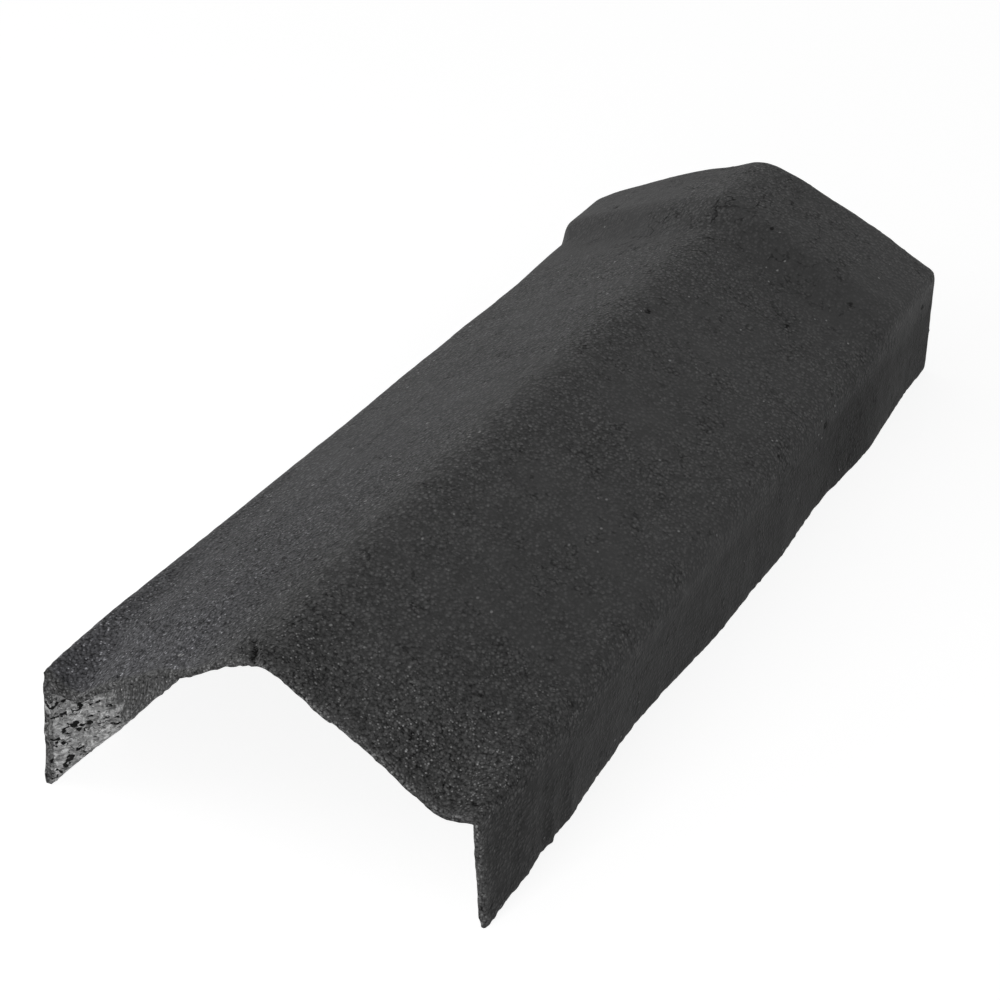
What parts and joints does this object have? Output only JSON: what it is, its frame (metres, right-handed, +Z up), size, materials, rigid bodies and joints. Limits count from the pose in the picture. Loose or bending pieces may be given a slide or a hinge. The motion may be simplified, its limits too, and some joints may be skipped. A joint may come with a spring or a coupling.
{
  "type": "ridge tile",
  "caption": "Thin moulded bitumen-fibre ridge tile: a pitched channel with side skirts and a wider collar that laps over the next tile along the ridge.",
  "frame": {"origin": "on the floor, at the middle of the tile's bounding box", "axes": "+Y along the ridge, from the plain end to the collar; +Z up; +X to the right seen from the plain end"},
  "size_m": [0.2015, 0.506, 0.0995],
  "materials": {
    "bitumen_fibre": "matte"
  },
  "bodies": {
    "root": {"ridge_tile": "bitumen_fibre"}
  },
  "joints": []
}
